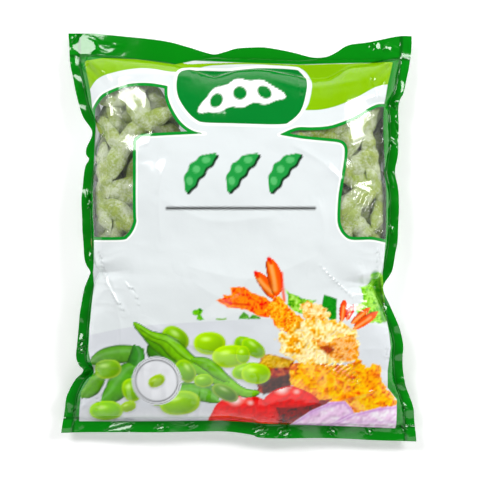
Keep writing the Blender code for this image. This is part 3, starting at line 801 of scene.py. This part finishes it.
def paintTomatoes(canvas):
    # tomato halves with onion wedges before them
    x, y = canvas.x, canvas.y
    red = ["#de180c", "#f22410", "#fb3a22"]
    canvas.patch([(24, -122), (45, -121), (68, -118.5), (62, -125), (50, -131), (40, -140), (22, -140)],
                 ["#3a0d0a", "#8a1a12", "#5c120e"], 3.0, 24, rough=0.6)
    for outline, seed in (([(-19.4, -140), (-19.2, -128), (-13, -119.4), (-1.6, -115.8), (10.2, -115.8),
                            (18.5, -118.8), (26.9, -124.4), (25.9, -140)], 25),
                          ([(18.5, -119.2), (24, -113), (31.5, -109.6), (39.8, -108.6), (52.8, -114.2),
                            (58.6, -120.6), (46, -124), (26.9, -124.4)], 26)):
        far = canvas.patch(smoothCurve(outline, 5, closed=True), red, 5.0, seed)
        middle = np.mean(outline, axis=0)
        lit = smoothStep((y - middle[1]) * 0.8 - (x - middle[0]) * 0.25, -9, 9)
        canvas.blend(0.3 * (1 - lit) * (far < 0), np.array(toLinear("#9a0604")))
        canvas.blend(0.25 * smoothStep(far, -3.5, -0.5) * (far < 0), np.array(toLinear("#7a0a06")))
        for dx, dy, width, strength in ((-6, 6, 4.2, 0.95), (5, 4, 2.2, 0.6), (0, 8, 1.6, 0.7)):
            p, q = (x - middle[0] - dx) / width, (y - middle[1] - dy) / (width * 0.8)
            glow = np.exp(-(p**2 + q**2))
            canvas.blend(strength * glow * (far < -0.8), np.array(toLinear("#fff0ec")))
    # onion wedges
    for outline, line, seed in (([(37, -139.5), (45, -133), (52.8, -127.2), (67.6, -120.4), (77.8, -120),
                                  (82.5, -125.3), (85.2, -129.9), (76, -135), (67.6, -141)],
                                 [(42, -137), (58, -128), (76, -121)], 27),
                                ([(67, -140.5), (76, -134.5), (84.3, -130), (102.8, -125.5), (120, -124.2),
                                  (120, -146), (66, -143)], [(74, -139), (92, -136.5), (117, -137)], 28)):
        far = canvas.patch(outline, ["#e3bfe0", "#f0d6ee", "#faf0fa"], 4.5, seed)
        canvas.blend(0.65 * np.exp(-((far + 1.2) / 1.1) ** 2) * (far < 0), np.array(toLinear("#c287cc")))
        canvas.stroke(line, 1.6, "#c79ad2", 1.2, 0.5)


def paintBeans(canvas):
    # whole pods and shelled beans round a plain seal
    x, y = canvas.x, canvas.y
    backPods = [([(-109, -93), (-100, -88), (-88, -85.5), (-76, -84.5), (-70, -82)], 13, "#5f9a3e"),
                ([(-76, -79), (-74, -86), (-77, -96), (-80, -103)], 11.5, "#3f8434"),
                ([(-63, -77), (-62, -83), (-56, -90), (-50, -95)], 11, "#3c7a24"),
                ([(-116, -118), (-111, -112), (-106, -107), (-99, -101)], 14, "#5c9a2a"),
                ([(-100, -120), (-92, -114), (-86, -106), (-80, -98), (-76, -95)], 17, "#5aa03a"),
                ([(-42, -107), (-30, -110.5), (-18, -112), (-12, -111)], 8, "#4c9228")]
    for seed, (line, width, colour) in enumerate(backPods, 31):
        canvas.leaf(line, width, colour, seed=seed)
    canvas.bean((-46.1, -73.6), (21, 16), -35, "#6db026")
    canvas.leaf([(-50, -116), (-38, -112.5), (-25, -115), (-15, -120)], 12, "#62aa2c", seed=37)
    canvas.beans([(-21.1, -77.1, 23, 16.5, 0, "#8bcb26"), (4.9, -78.6, 17, 12, -25, "#6cb424"),
                  (10.5, -80.5, 19, 11.5, -35, "#79bf2a"), (-6.3, -86.6, 26, 16.5, 5, "#93d32c"),
                  (3.0, -85.5, 10, 13, 0, "#86c828"), (6.5, -97.5, 23, 12, 10, "#7cc422"),
                  (12.5, -99.4, 21, 15, 0, "#8ed02a")])
    canvas.leaf([(-75.7, -63.2), (-68, -70), (-58, -79), (-49, -87), (-42, -95), (-33, -103)], 9.5, "#5a9c22",
                lumps=0.08, seed=38)
    canvas.leaf([(-75.7, -63), (-66, -70.5), (-54, -75.5), (-44, -84), (-34, -92), (-20, -99), (-8, -107),
                 (4, -113.5), (14, -113.5)], 12.0, "#79b832", lumps=0.12, rim=0.75, seed=39)
    canvas.stroke([(-72, -66.5), (-62, -73), (-52, -76.5), (-42, -86), (-32, -91.5), (-18, -98.5),
                   (-7, -106)], 0.8, "#2f5c12", 0.4, 0.8)
    canvas.leaf([(-34, -89), (-24, -92), (-15, -99), (-8, -105)], 9, "#6fae38", lumps=0.05, seed=40)
    canvas.beans([(-38.7, -97.5, 18, 13, -55, "#6fb426"), (-25.7, -104.5, 14, 9.5, 0, "#78be26"),
                  (-10, -113.7, 20.5, 10.5, -28, "#4f8a26"), (-96.1, -96.6, 20.5, 14, 8, "#6fb23c"),
                  (-78.5, -112, 13.5, 17.5, 15, "#7cc034"), (-81.3, -124.4, 12, 8, 20, "#8cc63e"),
                  (-57, -121, 14, 6, 0, "#7cbc34"), (-43.3, -121.6, 29.5, 18.5, 8, "#84c828")])
    canvas.bean((-98, -128.1), (25, 15.5), 5, "#7fd01e", shine=1.0)
    # round plain seal
    far = np.hypot(x + 60, y + 104.9)
    canvas.blend(smoothStep(-far, -18.5, -17.9), np.array(toLinear("#e2e4e8")))
    canvas.blend(0.85 * np.exp(-((far - 15.4) / 0.55) ** 2), np.array(toLinear("#3c4244")))
    canvas.blend(0.85 * np.exp(-((far - 17.2) / 0.35) ** 2), np.array(toLinear("#8a9094")))
    canvas.bean((-60, -104.9), (13, 8.5), 30, "#8bbf4e", shine=0.5)


signs = {"leaf": "#1f9a40", "edge": "#10301a", "bean": "#58bd6c", "rule": "#1c1f1e", "mark": "#fbfdfb"}


def podSign(x, y, middle, turn, length, grow=0.0):
    # a plain flat pod: how far inside its outline each point is, and inside its three beans
    c, s = math.cos(math.radians(turn)), math.sin(math.radians(turn))
    p = ((x - middle[0]) * c + (y - middle[1]) * s) / length
    q = (-(x - middle[0]) * s + (y - middle[1]) * c) / length - 0.06 + 0.5 * p**2
    half = 0.15 * (1 - np.clip(abs(p) / 0.5, 0,
                               1) ** 2.4) ** 0.7 * (1 + 0.12 * np.cos(2 * math.pi * p / 0.27))
    body = (half - abs(q)) * length + grow - 4 * np.clip(abs(p) - 0.49, 0, 1) * length
    beans = np.maximum.reduce([0.075 - np.hypot(p - k * 0.27, q) for k in (-1, 0, 1)]) * length
    return body, beans


def paintSigns(canvas):
    # three plain pod signs and a rule stand where a title would
    for cx in (-29.0, 1.5, 32.0):
        shadow, _ = podSign(canvas.x, canvas.y, (cx + 1.0, 47.0), 52, 36, 0.6)
        canvas.blend(smoothStep(shadow, -0.5, 0.5), np.array(toLinear(signs["edge"])))
        body, beans = podSign(canvas.x, canvas.y, (cx, 48), 52, 36)
        canvas.blend(smoothStep(body, -0.5, 0.5), np.array(toLinear(signs["leaf"])))
        canvas.blend(smoothStep(beans, -0.6, 0.6), np.array(toLinear(signs["bean"])))
    canvas.stroke([(-52, 21), (1.5, 21), (55, 21)], 2.0, signs["rule"], soft=0.9)


def badgeMark(x, y):
    # the white pod on the badge
    body, beans = podSign(x, y, (1.5, 101.5), 10, 66)
    return smoothStep(body, -0.4, 0.4) * (1 - smoothStep(beans, -0.5, 0.5))


def filmMaterial(name, front):
    # reverse-printed laminate: ink under glossy film, and no ink in the windows
    material, tree = newMaterial(name)
    where = addNode(tree, "ShaderNodeTexCoord").outputs["Object"]
    keys = ("lime", "badge", "mark", "window", "border", "seal") if front else ("border", "seal")
    fields = {key: addNode(tree, "ShaderNodeAttribute", attribute_name=key).outputs["Fac"] for key in keys}
    edge, badgeLine, windowLine = ink["edge"], ink["badgeOutline"], ink["outlineWidth"]
    # each ink over the last: its field, the values where it starts and is full, and its colour
    inks = [("lime", edge, -edge, ink["lime"]), ("badge", badgeLine + edge, badgeLine - edge, ink["outline"]),
            ("badge", edge, -edge, ink["badge"]), ("mark", 0, 1, signs["mark"]),
            ("window", windowLine + edge, windowLine - edge, ink["outline"]),
            ("window", edge, -edge, ink["frameGreen"]), ("border", -edge, edge, ink["border"])]
    colour = (*toLinear(ink["panel"]), 1)
    if front:
        colour = addNode(tree, "ShaderNodeAttribute", attribute_name="picture").outputs["Color"]
    for key, low, high, tone in inks if front else inks[-1:]:
        mask = addNode(tree, "ShaderNodeMapRange", {"Value": fields[key], "From Min": low, "From Max": high},
                       interpolation_type="LINEAR" if key == "mark" else "SMOOTHSTEP").outputs[0]
        colour = addNode(tree, "ShaderNodeMix", {"Factor": mask, 6: colour, 7: (*toLinear(tone), 1)},
                         data_type="RGBA").outputs[2]
    # painted shade: a darker line along the inner edge of the seals, in the crease where the seal meets the
    # body, on the border only
    paintedSealShade = addNode(tree, "ShaderNodeMapRange", {"Value": fields["seal"], "From Min": 0.5, "From Max": 1.7,
                                                   "To Min": 0.55, "To Max": 0.0})
    line = addNode(tree, "ShaderNodeMath", {0: paintedSealShade.outputs[0], 1: mask}, operation="MULTIPLY")
    colour = addNode(tree, "ShaderNodeMix", {"Factor": line.outputs[0], 6: colour,
                                             7: (*toLinear(ink["paintedSealShade"]), 1)}, data_type="RGBA").outputs[2]
    fine = addNode(tree, "ShaderNodeTexNoise", {"Vector": where, "Scale": 1 / (ink["fineSize"] * mm),
                                                "Detail": 3.0})
    wide = addNode(tree, "ShaderNodeTexNoise", {"Vector": where, "Scale": 1 / (ink["wideSize"] * mm),
                                                "Detail": 2.0})
    rough = addNode(tree, "ShaderNodeMapRange", {"Value": fine.outputs["Fac"], "To Min": 0.08,
                                                 "To Max": 0.15})
    height = addNode(tree, "ShaderNodeMath", {0: fine.outputs["Fac"], 1: wide.outputs["Fac"]},
                     operation="ADD")
    bump = addNode(tree, "ShaderNodeBump", {"Height": height.outputs[0], "Strength": 0.22,
                                            "Distance": 0.0012})
    inked = addNode(tree, "ShaderNodeBsdfPrincipled", {"Base Color": colour, "Roughness": rough.outputs[0],
                                                       "IOR": 1.45, "Normal": bump.outputs[0]})
    shader = inked.outputs[0]
    if front:
        soft, inner = ink["paneEdge"], -ink["frameWidth"]
        pane = addNode(tree, "ShaderNodeMapRange", {"Value": fields["window"], "From Min": inner + soft,
                                                    "From Max": inner - soft},
                       interpolation_type="SMOOTHSTEP")
        free = addNode(tree, "ShaderNodeMapRange", {"Value": fields["border"], "From Min": soft,
                                                    "From Max": -soft}, interpolation_type="SMOOTHSTEP")
        clear = addNode(tree, "ShaderNodeMath", {0: pane.outputs[0], 1: free.outputs[0]},
                        operation="MULTIPLY")
        glass = addNode(tree, "ShaderNodeBsdfTransparent", {"Color": (1, 1, 1, 1)})
        frost = addNode(tree, "ShaderNodeBsdfPrincipled", {"Base Color": (*toLinear(ink["frostedPane"]), 1),
                                                           "Roughness": 0.7})
        gloss = addNode(tree, "ShaderNodeBsdfPrincipled", {"Base Color": (1, 1, 1, 1), "Metallic": 1.0,
                                                           "Roughness": 0.12, "Normal": bump.outputs[0]})
        facing = addNode(tree, "ShaderNodeLayerWeight", {"Blend": 0.5,
                                                         "Normal": bump.outputs[0]}).outputs["Facing"]
        grazing = addNode(tree, "ShaderNodeMath", {0: facing, 1: 5.0}, operation="POWER").outputs[0]
        mirrored = addNode(tree, "ShaderNodeMapRange", {"Value": grazing, "To Min": 0.05, "To Max": 0.9})
        haze = addNode(tree, "ShaderNodeMapRange", {"Value": wide.outputs["Fac"], "From Min": 0.35,
                                                    "From Max": 0.75, "To Min": 0.0, "To Max": 0.10})
        misted = addNode(tree, "ShaderNodeMixShader", {0: haze.outputs[0], 1: glass.outputs[0],
                                                       2: frost.outputs[0]})
        shiny = addNode(tree, "ShaderNodeMixShader", {0: mirrored.outputs[0], 1: misted.outputs[0],
                                                      2: gloss.outputs[0]})
        shader = addNode(tree, "ShaderNodeMixShader", {0: clear.outputs[0], 1: shader,
                                                       2: shiny.outputs[0]}).outputs[0]
    finishMaterial(tree, shader)
    return material


def addField(mesh, name, values):
    made = mesh.attributes.new(name, "FLOAT", "POINT")
    made.data.foreach_set("value", np.asarray(values, np.float32).ravel())


def addLayout(mesh, x, y):
    # a flat layout of the film, as it was printed
    layout = mesh.uv_layers.new(name="OFBake")
    corners = np.zeros(len(mesh.loops), int)
    mesh.loops.foreach_get("vertex_index", corners)
    left, low = bag["layoutCorner"]
    flat = np.stack([x.ravel() + left, y.ravel() + low], axis=-1)[corners] / bag["layoutSpan"]
    layout.data.foreach_set("uv", flat.astype(np.float32).ravel())


folds = {
    "flangeWave": 1.1, "flangeLength": 21.0, "endWave": 0.35, "flangePinch": 2.2, "flangePinchSize": (8, 5),
    "puckerHeight": 0.95, "puckerReach": 13.0, "puckerWidth": 6.5, "pinchDepth": 1.5, "ridgeHeight": 1.5,
    "slack": ((36, 1.7, 51), (15, 0.6, 52), (7, 0.16, 53)),  # size and height in mm, seed
    "crumple": 1.2, "crumpleGrain": 6.0,
}

# where the seals are pinched in: x, y, inward turn in degrees, length, width, depth
pinches = [(-108.6, 77.7, 8, 30, 3.2, 3.4), (-111, 57.6, -14, 24, 2.6, 2.6), (-110, -27, 6, 34, 3.4, 3.4),
           (-116, -99, 20, 36, 3.6, 4.0), (118.5, 99, 186, 26, 2.6, 3.0), (115.7, 48, 174, 22, 2.8, 2.2),
           (107, -37, 170, 40, 3.6, 4.0), (123, -107, 150, 26, 3.0, 2.4), (-18, 136, -88, 22, 4.0, 2.4),
           (56, 133.5, -95, 24, 4.0, 2.6), (118, -120, 130, 24, 2.5, 2.0), (-120, -125, 52, 26, 2.5, 2.0),
           (-112, 128, -50, 26, 2.6, 2.2), (112, 128, -130, 26, 2.6, 2.2)]
# facets of creased film, tilted so that the key or the fill light glints off them towards the camera
facets = [("key", [(-126, 150), (-117, 151.5), (-107, 147), (-104, 139), (-116, 133.5), (-125, 140)]),
          ("key", [(-96.4, 108), (-95, 83), (-91, 92), (-83, 88), (-92, 98)]),
          ("key", [(-75, 65), (-65, 67), (-62, 80), (-70, 76), (-79, 72)]),
          ("fill", [(94, 144), (104, 145.5), (115, 143), (114, 138), (104, 139.5), (96, 140)]),
          ("fill", [(119.5, 118), (124, 117), (123, 102), (120, 101)]),
          ("fill", [(107.5, 100), (118.6, 98), (118.6, 95), (107, 96)]),
          ("fill", [(109, 76), (118, 70), (117, 66), (110, 71)]), ("key", [(79, 37), (86, 36), (97, 31),
                                                                           (107, 15), (107, 10), (95, 18),
                                                                           (86, 26)]),
          ("key", [(98, 10), (107.5, 6), (107.5, 2), (100, 3)]), ("key", [(50, -90.5), (68, -91),
                                                                          (82, -91.5), (91, -109.5),
                                                                          (80, -104), (66, -97)]),
          ("key", [(-101, -145), (-90, -133), (-84, -132), (-77, -134), (-80, -145)]),
          ("key", [(8.4, -148), (14, -136), (20, -140), (22, -148)]), ("key", [(26, -148), (36, -134.7),
                                                                               (39, -149)]),
          ("fill", [(66.5, -140), (73, -140), (72, -149.6), (67, -146)]),
          ("fill", [(94, -142), (101, -142), (97, -149)]), ("key", [(-119, -69), (-114.5, -70), (-115, -89),
                                                                    (-118.5, -86)]),
          ("key", [(-122, 147), (-112, 149), (-116, 141)]), ("key", [(-118, 128), (-112, 126),
                                                                     (-113, 118)]),
          ("fill", [(118, 92), (120, 70), (117, 68), (115.5, 84)]), ("fill", [(112, 52), (116, 44),
                                                                              (114, 30)]),
          ("fill", [(110, 16), (115, 8), (113, -2)]), ("fill", [(106, -44), (111, -52), (108, -60)]),
          ("key", [(-124, -128), (-119, -122), (-121, -138)]), ("fill", [(119, -118), (126, -124),
                                                                         (122, -132)]),
          ("key", [(-60, -138), (-50, -143), (-64, -144)]), ("key", [(-40, -137), (-30, -139),
                                                                     (-36, -144)]),
          ("fill", [(120, -138), (126, -142), (119, -149)]), ("key", [(-30, 134), (-22, 133), (-26, 137)]),
          ("key", [(-113, 36), (-109, 30), (-112, 12)]), ("key", [(-112, -6), (-108, -12), (-111, -20)])]
# narrow folds that catch a light along their length
strips = [("key", [(-103, -8), (-100, -22), (-93, -38), (-83, -56)], 4.5),
          ("fill", [(101, -6), (103, -17), (101, -29)], 3.5), ("key", [(57, -19), (70, -32),
                                                                       (85, -45)], 1.6),
          ("key", [(-95, 22), (-97, 10), (-93, 2)], 2.5), ("fill", [(105, 88), (106, 70), (104, 56)], 3.0),
          ("key", [(-107, 139), (-112, 132), (-117, 122)], 2.2), ("key", [(-107, 144), (-96, 143.5),
                                                                          (-84, 142)], 1.8),
          ("key", [(70, -83), (80, -92)], 1.8), ("fill", [(96, 120), (101, 108), (103, 96)], 2.0),
          ("key", [(-60, 128), (-50, 118), (-48, 108)], 1.6), ("fill", [(40, 116), (46, 106),
                                                                        (43, 96)], 1.8),
          ("key", [(-106, -110), (-104, -124), (-108, -132)], 2.2), ("fill", [(112, -96), (109, -84),
                                                                              (111, -70)], 2.0),
          ("key", [(20, -128), (28, -134), (40, -139)], 1.8), ("key", [(-86, -30), (-76, -40),
                                                                       (-72, -52)], 2.0)]
# long soft ridges: points, width, height
ridges = [([(-45, 129.5), (0, 131), (45, 129.5), (77, 130.5), (112, 131)], 1.0, -1.3),
          ([(-103, -8), (-100, -22), (-93, -38), (-83, -56)], 3.2, 1.5),
          ([(101, -6), (102, -17), (101, -29)], 1.6, 1.0), ([(-107, 139), (-112, 132),
                                                             (-117, 122)], 0.9, 1.0),
          ([(38, 68), (60, 55), (78, 38)], 2.0, 0.7), ([(-60, 30), (-20, 12), (30, 16)], 7.0, 0.8),
          ([(-40, -20), (10, -30), (60, -12)], 8.0, 0.7), ([(-90, 118), (-60, 120), (-30, 117)], 2.2, 0.8),
          ([(20, 118), (50, 110), (92, 116)], 2.4, 0.8), ([(-70, -60), (-30, -80), (10, -86)], 4.0, 0.8),
          ([(60, -126), (80, -118), (104, -112)], 1.6, 1.0), ([(57, -19), (70, -32), (85, -45)], 1.4, 0.6),
          ([(72, -82), (80, -92)], 1.0, 0.7), ([(-96, 14), (-100, 0), (-99, -14)], 2.0, 0.9),
          ([(-92, -44), (-86, -66), (-88, -84)], 3.0, 0.9), ([(88, -20), (94, -44), (92, -66)], 3.0, 0.9),
          ([(-52, 60), (-58, 30), (-56, -6)], 5.0, 0.7), ([(56, 30), (62, 4), (54, -26)], 5.0, 0.6),
          ([(-36, -30), (-8, -44), (14, -20)], 6.0, 0.5)]


def flange(sheet):
    # the free strips outside the seals wave up and down, on both films alike
    uu, vv = np.meshgrid(sheet.u, sheet.v)
    side = np.clip(1 - np.minimum(uu, 1 - uu) / bag["sideSeal"], 0, 1)
    end = np.maximum(np.clip(1 - vv / bag["bottomSeal"], 0, 1), np.clip(1 - (1 - vv) / bag["topSeal"], 0, 1))
    wave = np.sin(sheet.y / folds["flangeLength"] * 2 * math.pi + 2 * sheet.u[None]) * side
    wave = wave + folds["endWave"] * np.sin(sheet.x / (1.6 * folds["flangeLength"]) * 2 * math.pi + 1.1) * end
    lift = folds["flangeWave"] * wave
    acrossSize, alongSize = folds["flangePinchSize"]
    for x, y, *_ in pinches:
        near = np.exp(-(((sheet.x - x) / acrossSize) ** 2 + ((sheet.y - y) / alongSize) ** 2))
        lift = lift + folds["flangePinch"] * near * (side + end)
    sheet.z = np.maximum(sheet.z + lift, 0.0)


def pucker(sheet):
    # short folds that run inwards from the seals, where the film is gathered
    uu, vv = np.meshgrid(sheet.u, sheet.v)
    fromSide = (np.minimum(uu, 1 - uu) - bag["sideSeal"]) * bag["width"]
    fromEnd = np.minimum((vv - bag["bottomSeal"]), (1 - vv - bag["topSeal"])) * bag["length"]
    for far, along, seed in ((fromSide, sheet.y, 41), (fromEnd, sheet.x, 42)):
        bend = along + 3 * (grain(sheet.x, sheet.y, 14, seed + 7) - 0.5) * 2
        ripple = 1 - 2 * abs(grain(bend, far / 3, folds["puckerWidth"], seed) - 0.5) * 2
        reach = folds["puckerReach"] * (0.6 + 0.9 * grain(along, along * 0, 22, seed + 3))
        fade = np.exp(-np.clip(far, 0, None) / reach) * smoothStep(far, 0, 2.0)
        sheet.z = sheet.z + folds["puckerHeight"] * (ripple - 0.5) * fade


def fold(sheet):
    inside = sheet.swell > 0
    for x, y, turn, length, width, depth in pinches:
        c, s = math.cos(math.radians(turn)), math.sin(math.radians(turn))
        along = (sheet.x - x) * c + (sheet.y - y) * s
        across = -(sheet.x - x) * s + (sheet.y - y) * c
        spread = width * (0.7 + 0.9 * np.clip(along / length, 0, 1))
        groove = np.exp(-abs(across) / spread) - 0.45 * np.exp(-((abs(across) - 1.9 * spread) / spread) ** 2)
        fade = np.clip(1 - along / length, 0, 1) ** 1.2 * smoothStep(along, -2, 3)
        sheet.z = sheet.z - folds["pinchDepth"] * depth * groove * fade * inside
    for line, width, height in ridges:
        curve = smoothCurve(line, 8)
        far = distanceTo(sheet.x, sheet.y, curve)
        ends = np.minimum(np.hypot(sheet.x - curve[0][0], sheet.y - curve[0][1]),
                          np.hypot(sheet.x - curve[-1][0], sheet.y - curve[-1][1]))
        rise = folds["ridgeHeight"] * height * np.exp(-far / width)
        sheet.z = sheet.z + rise * smoothStep(ends + 2 * (far < width), 0, 12)


def stripOutline(line, width):
    # a band that tapers to both ends of a curve
    curve = smoothCurve(line, 6)
    along = np.gradient(curve, axis=0)
    across = np.stack([-along[:, 1], along[:, 0]], axis=-1) / np.hypot(along[:, 0], along[:, 1])[:, None]
    half = width / 2 * np.sin(math.pi * np.linspace(0.08, 0.92, len(curve)))[:, None]
    return np.concatenate([curve + half * across, (curve - half * across)[::-1]])


def glintSlope(place, x, y, z):
    # the slope at which the film shows that light to someone looking down at it
    here = np.array([x, y, z])
    toLight = np.array(place) / mm - here
    toEye = np.array([camera["x"], camera["y"], camera["height"]]) / mm - here
    half = toLight / np.linalg.norm(toLight) + toEye / np.linalg.norm(toEye)
    return -half[0] / half[2], -half[1] / half[2]


def crumpleFacets(sheet):
    for light, outline in facets + [(light, stripOutline(line, width)) for light, line, width in strips]:
        outline = np.array(outline, float)
        mask = smoothStep(-signedDistance(sheet.x, sheet.y, outline), -0.2, 0.9)
        heavy = mask > 0.5
        middle = outline.mean(0)
        level = sheet.z[heavy].mean()
        ax, ay = glintSlope(studio[light]["place"], middle[0], middle[1], level)
        plane = level + (sheet.x - middle[0]) * ax + (sheet.y - middle[1]) * ay - sheet.z
        plane = plane + 0.5 * (grain(sheet.x, sheet.y, folds["crumpleGrain"], 77) - 0.5)
        limit = folds["crumple"]
        plane = np.mod(plane + limit, 2 * limit) - limit
        sheet.z = sheet.z + mask * plane


def slacken(sheet):
    # the film isn't drum tight: low swells between the pods under it
    inside = smoothStep(sheet.swell, 0.0, 0.5)
    for size, height, seed in folds["slack"]:
        sheet.z = sheet.z + height * (grain(sheet.x, sheet.y, size, seed) - 0.5) * 2 * inside


def crease(sheet):
    slacken(sheet)
    pucker(sheet)
    fold(sheet)
    flange(sheet)
    crumpleFacets(sheet)
    sheet.z = np.maximum(sheet.z, bag["leastHeight"])


def makeFront():
    sheet = Sheet(bag["columns"], frontRows(), True)
    settleOnPods(sheet, heightsOf(pods, sheet.x, sheet.y))
    crease(sheet)
    piece = meshPiece("bag.front", sheet.points(), sheet.faces(True), filmMaterial("printed front film",
                                                                                   True))
    for name, values in printFields(sheet.x, sheet.y).items():
        addField(piece.data, name, values)
    addField(piece.data, "mark", badgeMark(sheet.x, sheet.y))
    addField(piece.data, "seal", sealDistance(sheet.u, sheet.v))
    canvas = Canvas(sheet.x, sheet.y)
    for paint in (paintPlate, paintPrawns, paintTomatoes, paintBeans):
        paint(canvas)
    canvas.enrich(ink["richness"], ink["gain"])
    paintSigns(canvas)
    picture = piece.data.attributes.new("picture", "FLOAT_COLOR", "POINT")
    colours = np.concatenate([canvas.colour, np.ones(canvas.colour.shape[:2] + (1,))], axis=-1)
    picture.data.foreach_set("color", colours.astype(np.float32).ravel())
    addLayout(piece.data, sheet.x, sheet.y)
    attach(piece, "root")
    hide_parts("front_film")
    return sheet


def makeBack():
    sheet = Sheet(bag["backColumns"], np.linspace(0, 1, bag["backRows"]), False)
    flange(sheet)
    piece = meshPiece("bag.back", sheet.points(), sheet.faces(False), filmMaterial("printed back film",
                                                                                   False))
    addField(piece.data, "border", signedDistance(sheet.x, sheet.y, np.array(borderInner)))
    addField(piece.data, "seal", sealDistance(sheet.u, sheet.v))
    addLayout(piece.data, sheet.x, sheet.y)
    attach(piece, "root")
    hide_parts("back_film")


makeFront()
print("front film ready")
makeBack()
print("back film ready")
